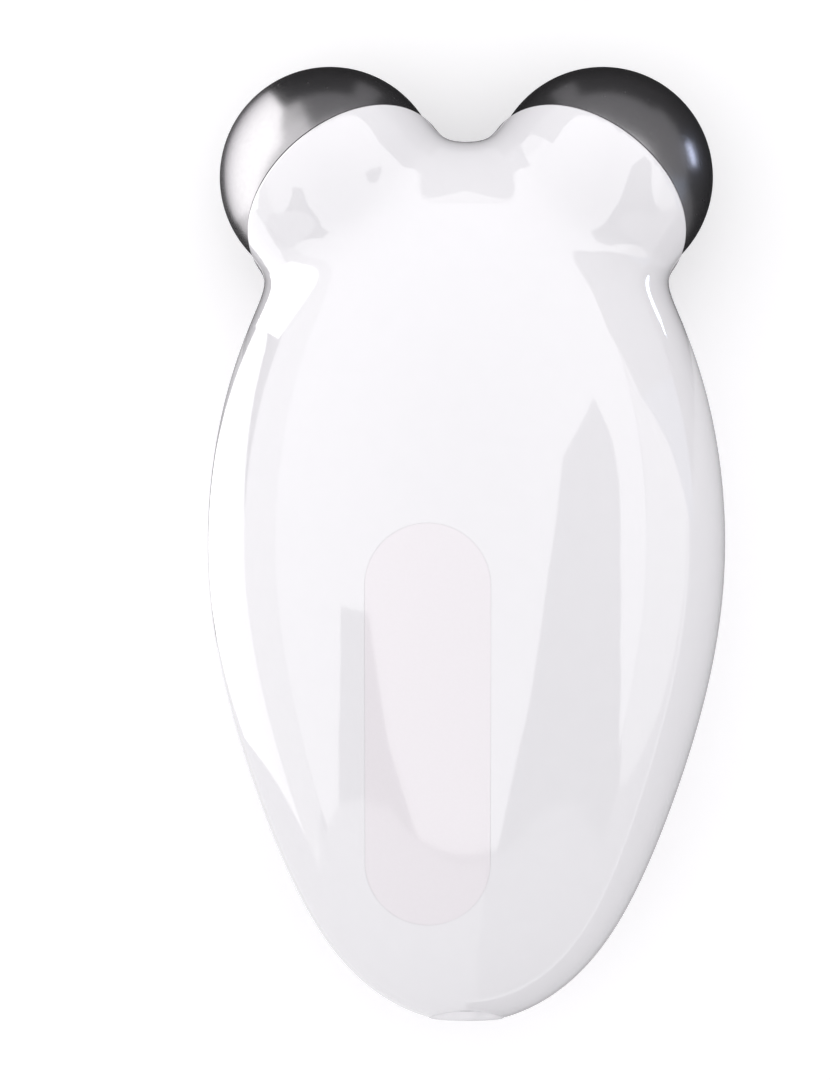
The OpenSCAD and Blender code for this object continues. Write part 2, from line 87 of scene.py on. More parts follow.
# %% [markdown]
# ## Two helpers for materials
# Colours are written as the hex values that an image editor shows. Blender wants linear
# light, so one function turns them. A second one adds a node, sets it up and links it,
# which keeps each material a short list of what it is made of.

# %% Colour and node helpers
def linear(colour):
    """An sRGB hex colour as linear red, green, blue and alpha."""
    parts = [int(colour[i:i + 2], 16) / 255 for i in (1, 3, 5)]
    return [p / 12.92 if p <= 0.04045 else ((p + 0.055) / 1.055) ** 2.4 for p in parts] + [1.0]


def add_node(tree, kind, settings=None, links=None):
    """Adds a node, sets its sockets or properties, and links its inputs to other sockets."""
    node = tree.nodes.new("ShaderNode" + kind)
    for key, value in (settings or {}).items():
        if isinstance(key, int) or key in node.inputs:
            node.inputs[key].default_value = value
        else:
            setattr(node, key, value)
    for key, source in (links or {}).items():
        tree.links.new(source, node.inputs[key])
    return node


print("mid grey #808080 in linear light:", round(linear("#808080")[0], 3))

# %% [markdown]
# ## Floor and surroundings
# The photograph's ground is pure white. The floor is a pale matt sheet that glows a little
# for the camera, for mirrors and for glass, so that lit floor reads as white while the
# device still leaves a soft shadow on it. It has only an upper side: seen from below it
# lets the eye through, because the button and the lights are on the face that lies on it.

# %% Floor
FLOOR_REACH = 3.0
FLOOR_DROP = 0.05 * MM
FLOOR_GLOW = 0.3


def floor_material():
    material = bpy.data.materials.new("pale_paper_sweep")
    material.use_nodes = True
    tree = material.node_tree
    tree.nodes.clear()
    ray = add_node(tree, "LightPath")
    seen = add_node(tree, "Math", {"operation": "MAXIMUM"},
                    {0: ray.outputs["Is Camera Ray"], 1: ray.outputs["Is Glossy Ray"]})
    seen = add_node(tree, "Math", {"operation": "MAXIMUM"},
                    {0: seen.outputs[0], 1: ray.outputs["Is Transmission Ray"]})
    glow = add_node(tree, "Math", {"operation": "MULTIPLY", 1: FLOOR_GLOW}, {0: seen.outputs[0]})
    paper = add_node(tree, "BsdfDiffuse", {"Color": linear("#F2F1F2")})
    lift = add_node(tree, "Emission", {"Color": linear("#FFFFFF")}, {"Strength": glow.outputs[0]})
    both = add_node(tree, "AddShader", links={0: paper.outputs[0], 1: lift.outputs[0]})
    side = add_node(tree, "NewGeometry")
    open_to = add_node(tree, "Math", {"operation": "MAXIMUM"},
                       {0: side.outputs["Backfacing"], 1: ray.outputs["Is Shadow Ray"]})
    clear = add_node(tree, "BsdfTransparent")
    mixed = add_node(tree, "MixShader", links={0: open_to.outputs[0], 1: both.outputs[0],
                                               2: clear.outputs[0]})
    add_node(tree, "OutputMaterial", links={"Surface": mixed.outputs[0]})
    return material


def make_floor():
    bm = bmesh.new()
    bmesh.ops.create_grid(bm, x_segments=2, y_segments=2, size=FLOOR_REACH)
    bmesh.ops.translate(bm, verts=bm.verts, vec=(0, 0, -FLOOR_DROP))
    mesh = bpy.data.meshes.new("floor")
    bm.to_mesh(mesh)
    bm.free()
    mesh.materials.append(floor_material())
    floor = bpy.data.objects.new("floor", mesh)
    bpy.context.scene.collection.objects.link(floor)


make_floor()
print("floor:", FLOOR_REACH, "m each way,", round(FLOOR_DROP / MM, 2), "mm under the device")

# %% World
# Pale at and below the horizon, and a dim grey overhead where the softboxes are.
WORLD_PALE = "#FFFFFF"
WORLD_DIM = "#8A8A8C"
WORLD_STRENGTH = 1.35
HORIZON_TOP = 0.08
DIM_FROM = 0.3


def make_world():
    world = bpy.data.worlds.new("studio")
    bpy.context.scene.world = world
    world.use_nodes = True
    tree = world.node_tree
    tree.nodes.clear()
    direction = add_node(tree, "TexCoord").outputs["Generated"]
    height = add_node(tree, "SeparateXYZ", links={0: direction}).outputs["Z"]
    up = add_node(tree, "MapRange", {"From Min": HORIZON_TOP, "From Max": DIM_FROM},
                  {"Value": height})
    tone = add_node(tree, "Mix", {"data_type": "RGBA"}, {0: up.outputs[0]})
    tone.inputs[6].default_value = linear(WORLD_PALE)
    tone.inputs[7].default_value = linear(WORLD_DIM)
    back = add_node(tree, "Background", {"Strength": WORLD_STRENGTH}, {"Color": tone.outputs[2]})
    add_node(tree, "OutputWorld", links={"Surface": back.outputs[0]})


make_world()
print("world strength:", WORLD_STRENGTH)

# %% [markdown]
# ## Softboxes
# On a glossy white body the lamps matter more than the colour: each patch of grey in the
# photograph is a gap between two lights, mirrored in the skin. Big softboxes overhead
# give even light, and their edges draw the long soft shapes on the back.

# %% Softboxes
WATTS_PER_RADIANCE = math.pi
CEILING = 1000 * MM
CEILING_RADIANCE, CEILING_SHINE = 0.72, 0.38
FILL_DEPTH, FILL_SIZE, FILL_RADIANCE = 500 * MM, 900 * MM, 0.8
CEILING_BOXES = {
    "softbox_middle": (-2600, 1900, -650, 2400),
    "softbox_left": (-2600, -850, -1500, -650),
    "softbox_right": (1150, 1900, -1100, -650),
}


def softbox(name, centre, facing, width, height, radiance, only_shine=False):
    """A rectangular lamp whose face has the given radiance, where 1 is a white page."""
    data = bpy.data.lights.new(name, "AREA")
    data.shape = "RECTANGLE"
    data.size, data.size_y = width, height
    data.energy = radiance * width * height * WATTS_PER_RADIANCE
    lamp = bpy.data.objects.new(name, data)
    lamp.location = centre
    lamp.rotation_euler = Vector(facing).to_track_quat("-Z", "Y").to_euler()
    lamp.visible_camera = False
    lamp.visible_diffuse = not only_shine
    bpy.context.scene.collection.objects.link(lamp)
    return lamp


# Each box has a second face that only mirrors see, so the shine is crisp without washing
# out the white.
for name, (x0, x1, y0, y1) in CEILING_BOXES.items():
    x, y = (x0 + x1) / 2 * MM, (y0 + y1) / 2 * MM
    width, height = (x1 - x0) * MM, (y1 - y0) * MM
    softbox(name, (x, y, CEILING), (0, 0, -1), width, height, CEILING_RADIANCE)
    softbox(name + "_shine", (x, y, CEILING + 1 * MM), (0, 0, -1), width, height, CEILING_SHINE,
            only_shine=True)

# A broad dim lamp under the floor keeps the front face readable from below.
softbox("fill_below", (0, 0, -FILL_DEPTH), (0, 0, 1), FILL_SIZE, FILL_SIZE, FILL_RADIANCE)
print("lamps:", len(bpy.data.lights))

# %% [markdown]
# ## Cards
# A photographer shapes what a shiny thing mirrors with cards: black ones draw dark edges
# on bright metal, grey ones part one softbox from the next, and white ones add a flash of
# light. These stand round the device and lie on the table, and only mirrors see them.

# %% Tones and outlines of cards
# Heights in mm: three layers between the floor and the device's lowest point, so that no
# card cuts into a ball, and one just under the softboxes.
FLAT, MIDDLE, TOP, HIGH = -0.04, -0.025, -0.01, 985
CARD_TONES = {"black": ("#3C3C3E", 1.0), "grey": ("#949496", 1.0), "soft": ("#C8C8CA", 1.0),
              "low": ("#EAEAEC", 1.0), "pale": ("#FFFFFF", 1.1), "bright": ("#FFFFFF", 1.9),
              "flash": ("#FFFFFF", 2.8), "blue": ("#A6AFBE", 1.0), "spark": ("#D8E4FF", 10.0)}


def lying(z, *outline):
    """Corners of a card that lies flat at one height."""
    return [(x, y, z) for x, y in outline]


def wall(x0, y0, x1, y1):
    """Corners of an upright card, from the table up to the softboxes."""
    return [(x0, y0, 0), (x1, y1, 0), (x1, y1, HIGH), (x0, y0, HIGH)]


print("card tones:", len(CARD_TONES))

# %% Cards by the device
NEAR_CARDS = {
    # on the table, beside and behind the device
    "table_black": ("black", lying(FLAT, (-600, 27), (600, 27), (600, 700), (-600, 700))),
    "table_right": ("grey", lying(MIDDLE, (0, 27), (0, -300), (600, -300), (600, 27))),
    "table_front": ("low", lying(MIDDLE, (0, 27), (-600, 27), (-600, -600), (0, -600))),
    "table_left": ("bright", lying(
        TOP, (-48, 43), (-37, 12), (-35, -8), (-43, -29), (-128, -76), (-600, -343), (-600, 27),
        (-110, 60))),
    "table_edge": ("grey", lying(
        TOP, (0, -24), (-35.5, -12), (-34.5, -4), (-36.5, 12), (-42, 27), (0, 27))),
    "table_spark": ("spark", lying(TOP, (78, 54), (90, 54), (92, 72), (80, 72))),
    # standing close by, for the balls and the notch
    "stand_flash": ("flash", [
        (-41, 33, 1), (-42.4, 44, 1), (-39, 57, 1), (-31, 65, 1), (-31, 65, 22), (-38, 58, 36),
        (-42.4, 46, 30), (-41, 33, 24)]),
    "stand_back_left": ("grey", [
        (0, 82, 0), (-6, 81, 0), (-6, 81, 20), (-30, 78, 20), (-30, 78, 52), (-20, 79.5, 47),
        (-12, 80.5, 42), (-4.5, 81.5, 39), (0, 82, 37)]),
    "stand_back_right": ("grey", [
        (0, 82, 0), (0, 82, 37), (4.5, 81.5, 39), (12, 80.5, 42), (20, 79.5, 47), (30, 77.5, 53),
        (42, 76, 54), (42, 76, 20), (6, 81, 20), (6, 81, 0)]),
    "stand_right": ("grey", [
        (42, 76, 15), (42, 76, 54), (58, 68, 54), (72, 61, 61), (87, 42, 56), (87, 42, 15)]),
    "stand_blue": ("blue", [
        (87, 42, 15), (87, 42, 56), (100, 30, 41), (110, 6, 22), (110, 6, 15)]),
}
print("cards by the device:", len(NEAR_CARDS))

# %% Cards far away
FAR_CARDS = {
    # walls, as high as the softboxes
    "wall_back": ("pale", wall(-2600, 2400, 2600, 2400)),
    "wall_left": ("pale", wall(-2600, -1500, -2600, 2400)),
    "wall_right": ("pale", [
        (2600, 2400, 0), (2600, 113, 0), (2600, 113, 30), (2600, -263, 48), (2600, -581, 98),
        (2600, -885, 193), (2600, -1136, 470), (2600, -1302, 750), (2600, -1370, HIGH),
        (2600, 2400, HIGH)]),
    "wall_front_left": ("low", wall(-2960, -1782, 150, -1700)),
    "wall_front_right": ("soft", [
        (150, -1700, 0), (2601, -1700, 0), (2601, 113, 0), (2601, 113, HIGH),
        (2601, -1700, HIGH), (150, -1700, HIGH)]),
    # overhead: the gaps between the softboxes, and the dimmer room beyond them
    "ceiling_right": ("pale", lying(
        HIGH, (1900, 2400), (1900, -900), (2600, -1370), (2600, 2400))),
    "gap_right": ("grey", lying(
        HIGH, (214, -662), (361, -381), (430, -80), (545, 216), (936, 476), (1120, 358),
        (1165, 217), (1150, -65), (1263, -364), (1630, -745), (2252, -1200), (2252, -1437),
        (985, -751), (591, -626))),
    "gap_left": ("grey", lying(
        HIGH, (-343, -650), (-498, -490), (-550, -185), (-800, -190), (-846, -329),
        (-948, -494), (-1180, -729), (-1422, -935), (-888, -712), (-572, -630))),
    "room_left": ("low", lying(
        HIGH, (-2960, -1782), (-1422, -935), (-888, -712), (-572, -630), (-343, -650),
        (-9, -667), (150, -662), (150, -1700))),
    "room_right": ("soft", lying(
        HIGH, (150, -662), (214, -662), (591, -626), (985, -751), (2252, -1437), (2601, -1700),
        (150, -1700))),
}
print("cards far away:", len(FAR_CARDS))


# %% Making the cards
def card(name, tone, corners):
    """A glowing card through the given corners in mm, seen only in reflections."""
    bm = bmesh.new()
    bm.faces.new([bm.verts.new(Vector(c) * MM) for c in corners])
    mesh = bpy.data.meshes.new(name)
    bm.to_mesh(mesh)
    bm.free()
    colour, strength = CARD_TONES[tone]
    material = bpy.data.materials.new(name + "_paper")
    material.use_nodes = True
    tree = material.node_tree
    tree.nodes.clear()
    glow = add_node(tree, "Emission", {"Color": linear(colour), "Strength": strength})
    add_node(tree, "OutputMaterial", links={"Surface": glow.outputs[0]})
    mesh.materials.append(material)
    board = bpy.data.objects.new(name, mesh)
    board.visible_camera = board.visible_diffuse = board.visible_shadow = False
    bpy.context.scene.collection.objects.link(board)


for name, (tone, corners) in (NEAR_CARDS | FAR_CARDS).items():
    card(name, tone, corners)
print("cards made:", len(NEAR_CARDS | FAR_CARDS))

# %% [markdown]
# ## The casing's skin
# The body is an egg with a drawn-in tail, and each ball sits in a collar that is a sphere
# slightly larger than the ball. The moulder blends the three into one skin with no crease.
# A formula does this best: each shape gives the distance to its own surface, and a soft
# minimum of the three distances is a surface that flows from one into the next. Solving
# for where it is zero gives points and true normals at any fineness, so reflections
# travel over the collars without a ripple.

# %% Sizes of the casing
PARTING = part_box("rear_shell")[0].z
HALF_WIDTH = 31 * MM
TAIL, HEAD = 57.6 * MM, 47.6 * MM
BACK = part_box("rear_shell")[1].z - PARTING
FRONT = PARTING
WALL = 2.2 * MM
TAIL_PINCH = 0.27
BLEND = 0.62 / MM
BALL_RADIUS = 13.3 * MM
BALL_X, BALL_Y = 16.4 * MM, 43.9 * MM
COLLAR_RADIUS = BALL_RADIUS + 0.3 * MM
SPLAY, DIP = math.radians(38.5), math.radians(36)
print("parting plane, back and front in mm:", [round(v / MM, 3) for v in (PARTING, BACK, FRONT)])


# %% The skin as a field
def egg_gap(points, inset):
    """Signed distance to the egg, close to its surface, for points from the parting plane."""
    length = np.where(points[:, 1] > 0, HEAD, TAIL) - inset
    height = np.where(points[:, 2] > 0, BACK, FRONT) - inset
    t = np.clip(-points[:, 1] / length, 0, 1)
    drawn_in = 1 - TAIL_PINCH * t * t * (1 - t * t) * (1 - t ** 4)
    axes = np.stack([(HALF_WIDTH - inset) * drawn_in, length, height * drawn_in], 1)
    q = points / axes
    k = np.linalg.norm(q, axis=1)
    return k * (k - 1) / np.linalg.norm(q / axes, axis=1)


def skin_gap(points, inset=0.0):
    """Signed distance to the whole skin: the soft minimum of the egg and the two collars."""
    local = points - [0, 0, PARTING]
    total = np.exp(-BLEND * egg_gap(local, inset))
    for side in (-1, 1):
        centre = [side * BALL_X, BALL_Y, BALL_RADIUS - PARTING]
        total += np.exp(-BLEND * (np.linalg.norm(local - centre, axis=1) - COLLAR_RADIUS + inset))
    return -np.log(total) / BLEND


def skin_normal(points, inset=0.0):
    """Outward normals of the skin, from small steps along each axis."""
    step = 0.01 * MM
    slope = np.stack([skin_gap(points + d, inset) - skin_gap(points - d, inset)
                      for d in np.eye(3) * step], 1)
    return slope / np.linalg.norm(slope, axis=1, keepdims=True)


def reach(roots, directions, inset=0.0, near=0.0, far=40 * MM, steps=34):
    """Walks from each root along its direction to the skin, by halving the interval."""
    low, high = np.full(len(roots), near), np.full(len(roots), far)
    for _ in range(steps):
        middle = (low + high) / 2
        inside = skin_gap(roots + middle[:, None] * directions, inset) < 0
        low, high = np.where(inside, middle, low), np.where(inside, high, middle)
    return roots + ((low + high) / 2)[:, None] * directions


top = reach(np.array([[0.0, 0.0, PARTING]]), np.array([[0.0, 0.0, 1.0]]))
print("back of the egg at its middle, in mm:", round(top[0, 2] / MM, 3))

# %% [markdown]
# ## Half a skin from half a ball
# Each casing half starts as half of a ball with its poles on the long axis, whose
# points are then moved onto the skin: rings behind the collars stay flat, and rings in
# the head fan out so that both collars get even faces. The last columns before the
# parting plane turn in a small radius, because a moulded edge is never sharp, and the
# two radii make the fine line that the eye reads as a joint.

# %% A half sphere moved onto the skin
COLUMNS, RINGS, HEAD_RINGS = 256, 200, 88
FAN_Y = 28 * MM
POLE_CROWDING = 1.3
JOINT_HALF_GAP = 0.03 * MM
JOINT_RADIUS = 0.12 * MM
JOINT_COLUMNS = 3


def half_ball(bm, columns, rings):
    """The z > 0 half of a unit ball: an arc from pole to pole on Y, spun by half a turn."""
    turns = [math.pi * k / rings for k in range(rings + 1)]
    arc_verts = [bm.verts.new((math.sin(t), math.cos(t), 0)) for t in turns]
    edges = [bm.edges.new(pair) for pair in zip(arc_verts, arc_verts[1:])]
    bmesh.ops.spin(bm, geom=arc_verts + edges, cent=(0, 0, 0), axis=(0, -1, 0), angle=math.pi,
                   steps=columns // 2)
    poles = [v for v in bm.verts if abs(v.co.y) > 1 - 1e-6]
    bmesh.ops.remove_doubles(bm, verts=poles, dist=1e-5)


def move_onto_skin(bm, side, inset, columns, rings, head_rings, rounded):
    """Moves a half ball's points onto the skin; side is 1 for the back and -1 for the front."""
    unit = np.array([v.co for v in bm.verts])
    ring = np.rint(np.arccos(np.clip(unit[:, 1], -1, 1)) * rings / math.pi)
    column = np.rint(np.arctan2(np.abs(unit[:, 2]), unit[:, 0]) * columns / (2 * math.pi))
    column[np.hypot(unit[:, 0], unit[:, 2]) < 1e-5] = 0
    half = columns // 2
    from_joint = np.minimum(column, half - column)
    edge = JOINT_COLUMNS if rounded else 0
    radius = JOINT_RADIUS if rounded else 0.0

    bend = (np.clip(from_joint / max(edge, 1), 0, 1) * math.pi / 2 if rounded
            else np.full(len(unit), math.pi / 2))
    level = JOINT_HALF_GAP + radius * (1 - np.cos(bend))
    shrink = radius * (1 - np.sin(bend))
    turn = np.clip((from_joint - edge) / (half / 2 - edge), 0, 1) * math.pi / 2
    turn = np.where(column > half / 2, math.pi - turn, turn)

    spread = (np.clip(ring / head_rings, 0, 1) ** POLE_CROWDING) * math.pi / 2
    start = -(TAIL - inset)
    walk = np.clip((rings - ring) / (rings - head_rings), 0, 1)
    along = start + (FAN_Y - start) * (1 - np.cos(walk * math.pi / 2))
    root_y = np.where(ring <= head_rings, FAN_Y, along)
    roots = np.stack([0 * level, root_y, level], 1)
    ahead = np.stack([np.sin(spread) * np.cos(turn), np.cos(spread),
                      np.sin(spread) * np.sin(turn)], 1)

    lift = np.array([1, 1, side])
    base = np.array([0, 0, PARTING])
    places = reach(roots * lift + base, ahead * lift, inset)
    inward = skin_normal(places, inset)
    inward[:, 2] = 0
    inward /= np.maximum(np.linalg.norm(inward, axis=1, keepdims=True), 1e-9)
    places -= inward * shrink[:, None]
    for vert, place in zip(bm.verts, places):
        vert.co = place


def new_skin(side, inset, columns=COLUMNS, rings=RINGS, head_rings=HEAD_RINGS, rounded=True):
    """A bmesh of one half of the skin, an inset below the outer surface."""
    bm = bmesh.new()
    half_ball(bm, columns, rings)
    move_onto_skin(bm, side, inset, columns, rings, head_rings, rounded)
    return bm


trial = new_skin(1, 0.0, 32, 24, 10)
print("a coarse trial skin has", len(trial.verts), "points")
trial.free()

# %% [markdown]
# ## Collar rims
# Each collar ends in a flat rim just behind the ball's middle, with a small rounded lip
# that catches a bright line of light in the photograph. The skin is cut with a plane,
# and the cut edge is drawn on in rows: round the lip, in over the flat land, down the
# opening that the ball's neck passes, and out to the inner wall.

# %% Collar frames and rows
RIM_BACK = 3.0 * MM
LIP_RADIUS = 0.35 * MM
LIP_ROWS = 7
LIP_START = RIM_BACK + LIP_RADIUS * (1 + (RIM_BACK + 0.44 * MM) / COLLAR_RADIUS)
LAND_RADIUS, NECK_RADIUS = 12.4 * MM, 7.8 * MM
FLANGE_BACK = 4.5 * MM


class Collar:
    """One collar: its centre, its axis out of the body, and two directions across it."""

    def __init__(self, side):
        self.centre = Vector((side * BALL_X, BALL_Y, BALL_RADIUS))
        self.axis = Vector((side * math.sin(SPLAY) * math.cos(DIP),
                            math.cos(SPLAY) * math.cos(DIP), -math.sin(DIP)))
        self.up = (Vector((0, 0, 1)) - self.axis.z * self.axis).normalized()
        self.across = self.up.cross(self.axis)

    def measure(self, point):
        """Radius, depth along the axis, and turn of a point."""
        away = Vector(point) - self.centre
        depth = away.dot(self.axis)
        flat = away - depth * self.axis
        return flat.length, depth, math.atan2(flat.dot(self.up), flat.dot(self.across))

    def place(self, radius, depth, turn):
        return (self.centre + depth * self.axis
                + radius * (math.cos(turn) * self.across + math.sin(turn) * self.up))

    def turn_at_level(self, radius, depth, level, near):
        """The turn, closest to near, at which a ring crosses a level."""
        rise = (level - self.centre.z - depth * self.axis.z) / (radius * self.up.z)
        first = math.asin(max(-1, min(1, rise)))
        turns = [t + 2 * math.pi * k for t in (first, math.pi - first) for k in (-1, 0, 1)]
        return min(turns, key=lambda t: abs(t - near))


COLLARS = [Collar(-1), Collar(1)]


def cut_beyond(bm, collar, depth):
    """Removes what lies beyond a plane across the collar and returns the cut edge in order."""
    bmesh.ops.bisect_plane(bm, geom=bm.verts[:] + bm.edges[:] + bm.faces[:], dist=1e-7,
                           plane_co=collar.centre + depth * collar.axis,
                           plane_no=collar.axis, clear_outer=True)
    on_cut = {v for v in bm.verts if abs((v.co - collar.centre).dot(collar.axis) - depth) < 1e-6}
    edges = [e for e in bm.edges if e.is_boundary and all(v in on_cut for v in e.verts)]
    near = {}
    for e in edges:
        for v in e.verts:
            near.setdefault(v, []).append(e.other_vert(v))
    chain, step = [], [next(v for v, others in near.items() if len(others) == 1)]
    while step:
        chain.append(step[0])
        step = [v for v in near[chain[-1]] if v not in chain[-2:]]
    return chain


def draw_row(bm, chain):
    """Extrudes the chain's edges and returns the new points in the same order."""
    edges = [bm.edges.get(pair) for pair in zip(chain, chain[1:])]
    made = bmesh.ops.extrude_edge_only(bm, edges=edges)["geom"]
    old, partner = set(chain), {}
    for vert in (g for g in made if isinstance(g, bmesh.types.BMVert)):
        for edge in vert.link_edges:
            if edge.other_vert(vert) in old:
                partner[edge.other_vert(vert)] = vert
    return [partner[v] for v in chain]


def unwrapped(turns):
    """The same turns without jumps of a full circle."""
    return [float(t) for t in np.unwrap(turns)]


def set_row(collar, chain, turns, radii, depths, level):
    """Places a row on its radii and depths, with both ends kept on the parting level."""
    first = collar.turn_at_level(radii[0], depths[0], level, turns[0])
    last = collar.turn_at_level(radii[-1], depths[-1], level, turns[-1])
    stretch = (last - first) / (turns[-1] - turns[0])
    for vert, turn, radius, depth in zip(chain, turns, radii, depths):
        vert.co = collar.place(radius, depth, first + (turn - turns[0]) * stretch)


print("left collar's axis:", [round(v, 3) for v in COLLARS[0].axis])


# %% Rim, land and neck of one collar
def finish_rim(bm, collar, level):
    """Cuts one collar open and draws its lip, land and neck."""
    chain = cut_beyond(bm, collar, -LIP_START)
    start = [collar.measure(v.co) for v in chain]
    turns = unwrapped([turn for _, _, turn in start])
    normals = skin_normal(np.array([v.co for v in chain]))
    leans = [math.atan2(Vector(n).dot(collar.axis),
                        Vector(n).dot((collar.place(1, 0, turn) - collar.centre)))
             for n, turn in zip(normals, turns)]
    centres = [(radius - LIP_RADIUS * math.cos(lean), depth - LIP_RADIUS * math.sin(lean))
               for (radius, depth, _), lean in zip(start, leans)]
    for k in range(1, LIP_ROWS + 1):
        share = k / LIP_ROWS
        angles = [lean + (math.pi / 2 - lean) * share for lean in leans]
        radii = [c[0] + LIP_RADIUS * math.cos(a) for c, a in zip(centres, angles)]
        depths = [c[1] + LIP_RADIUS * math.sin(a) for c, a in zip(centres, angles)]
        depths = [d + ((-RIM_BACK) - (c[1] + LIP_RADIUS)) * share for d, c in zip(depths, centres)]
        chain = draw_row(bm, chain)
        set_row(collar, chain, turns, radii, depths, level)
    for radius, depth in ((LAND_RADIUS, -RIM_BACK), (NECK_RADIUS, -RIM_BACK),
                          (NECK_RADIUS, -FLANGE_BACK)):
        chain = draw_row(bm, chain)
        set_row(collar, chain, turns, [radius] * len(chain), [depth] * len(chain), level)


print("the lip starts", round(LIP_START / MM, 3), "mm behind the ball's middle")

# %% [markdown]
# ## Closing a half into a solid
# A moulding has a real wall, so the half gets an inner skin from the same formula, and
# the open edges are filled: the flat face at the joint, and the flange behind each rim.
# Both lie in planes, so a planar fill does it and leaves one closed solid.

# %% Casing halves
INNER_COLUMNS, INNER_RINGS, INNER_HEAD_RINGS = 128, 100, 44
SAME_PLANE = 2e-6


def level_of(side):
    """The height of a half's joint face; the two halves stand a hair apart."""
    return PARTING + side * JOINT_HALF_GAP


def boundary_where(bm, test):
    """Open edges whose two ends both pass a test."""
    return [e for e in bm.edges if e.is_boundary and all(test(v.co) for v in e.verts)]


def fill_flat(bm, edges):
    """Fills flat outlines with triangles."""
    faces = bmesh.ops.edgeloop_fill(bm, edges=edges)["faces"]
    bmesh.ops.triangulate(bm, faces=faces, ngon_method="EAR_CLIP")


def close_ends(bm, collar, level):
    """Joins the outer and inner skins' ends behind a rim and fills the strip between them."""
    def on_flange(co):
        return abs((co - collar.centre).dot(collar.axis) + FLANGE_BACK) < SAME_PLANE
    edges = boundary_where(bm, on_flange)
    ends = dict.fromkeys(v for e in edges for v in e.verts if abs(v.co.z - level) < SAME_PLANE)
    outer = [v for v in ends if collar.measure(v.co)[0] < NECK_RADIUS + 0.1 * MM]
    inner = [v for v in ends if v not in outer]
    made = []
    for v in outer:
        made.append(bm.edges.new((v, min(inner, key=lambda w: (w.co - v.co).length))))
    fill_flat(bm, edges + made)
    return made


def new_piece(name, bm, body, node_slot, material, *nodes):
    """Turns a bmesh into a piece that rides on a body and stands for CAD nodes."""
    mesh = bpy.data.meshes.new(name)
    bm.to_mesh(mesh)
    bm.free()
    piece = bpy.data.objects.new(name, mesh)
    bpy.context.scene.collection.objects.link(piece)
    mesh.materials.append(material)
    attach(piece, body)
    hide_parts(*nodes)
    return piece


def casing_half(side):
    """A closed bmesh of one casing half."""
    level = level_of(side)
    outer = new_skin(side, 0.0)
    for collar in COLLARS:
        finish_rim(outer, collar, level)
    inner = new_skin(side, WALL, INNER_COLUMNS, INNER_RINGS, INNER_HEAD_RINGS, rounded=False)
    for collar in COLLARS:
        cut_beyond(inner, collar, -FLANGE_BACK)
    holder = bpy.data.meshes.new("inner_skin")
    inner.to_mesh(holder)
    inner.free()
    outer.from_mesh(holder)
    bpy.data.meshes.remove(holder)
    closing = [e for collar in COLLARS for e in close_ends(outer, collar, level)]
    flat = boundary_where(outer, lambda co: abs(co.z - level) < SAME_PLANE)
    fill_flat(outer, list(dict.fromkeys(flat + closing)))
    bmesh.ops.recalc_face_normals(outer, faces=outer.faces)
    return outer


back_mesh, front_mesh = casing_half(1), casing_half(-1)
for name, half in (("back", back_mesh), ("front", front_mesh)):
    print(name, "half:", len(half.faces), "faces,",
          sum(not e.is_manifold for e in half.edges), "open edges, volume in cubic mm:",
          round(half.calc_volume() / MM ** 3))

# %% [markdown]
# ## Cutting openings
# The port, the button's seat, the light windows and the label's shallow pocket are cut
# with Boolean modifiers, as a mould's cores would leave them. The label is the piece of
# skin that its pocket lacks: both are cut from the same curved slab, so it lies flush.

# %% Boolean helpers
SHARP = math.radians(35)
ON_SURFACE, FACING_ALIKE = 0.004 * MM, 0.85


def applied(piece):
    """Bakes a piece's modifiers into its mesh."""
    bpy.context.view_layer.update()
    seen = piece.evaluated_get(bpy.context.evaluated_depsgraph_get())
    mesh = bpy.data.meshes.new_from_object(seen)
    old = piece.data
    piece.modifiers.clear()
    piece.data = mesh
    mesh.name = piece.name
    bpy.data.meshes.remove(old)


def combine(piece, bm, operation="DIFFERENCE"):
    """Cuts a bmesh from a piece, joins it on, or keeps what both share."""
    mesh = bpy.data.meshes.new("cutter")
    bm.to_mesh(mesh)
    bm.free()
    cutter = bpy.data.objects.new("cutter", mesh)
    bpy.context.scene.collection.objects.link(cutter)
    change = piece.modifiers.new("change", "BOOLEAN")
    change.operation, change.solver, change.object = operation, "MANIFOLD", cutter
    applied(piece)
    bpy.data.objects.remove(cutter)
    bpy.data.meshes.remove(mesh)


def rod(radius, start, direction, length, segments=96):
    """A closed cylinder from a point along a direction."""
    bm = bmesh.new()
    bmesh.ops.create_cone(bm, cap_ends=True, segments=segments, radius1=radius, radius2=radius,
                          depth=length)
    turn = Vector((0, 0, 1)).rotation_difference(Vector(direction)).to_matrix().to_4x4()
    middle = Vector(start) + Vector(direction).normalized() * length / 2
    bmesh.ops.transform(bm, matrix=Matrix.Translation(middle) @ turn, verts=bm.verts)
    return bm


def values_of(items, name, width):
    """One attribute of all a mesh's points, corners or faces, a row for each."""
    values = np.zeros(len(items) * width)
    items.foreach_get(name, values)
    return values.reshape(-1, width)


def true_normals(piece, gap, normal):
    """Gives the points that lie on an exact surface that surface's own normals."""
    mesh = piece.data
    mesh.shade_smooth()
    mesh.set_sharp_from_angle(angle=SHARP)
    places = values_of(mesh.vertices, "co", 3)
    on_surface = np.abs(gap(places)) < ON_SURFACE
    exact = np.zeros((len(places), 3))
    exact[on_surface] = normal(places[on_surface])
    corners = exact[values_of(mesh.loops, "vertex_index", 1).astype(int)[:, 0]]
    sizes = values_of(mesh.polygons, "loop_total", 1).astype(int)[:, 0]
    faces = np.repeat(values_of(mesh.polygons, "normal", 3), sizes, axis=0)
    corners[np.sum(corners * faces, axis=1) < FACING_ALIKE] = 0
    mesh.normals_split_custom_set(corners.tolist())
    return int(on_surface.sum())


print("Boolean solver: MANIFOLD")

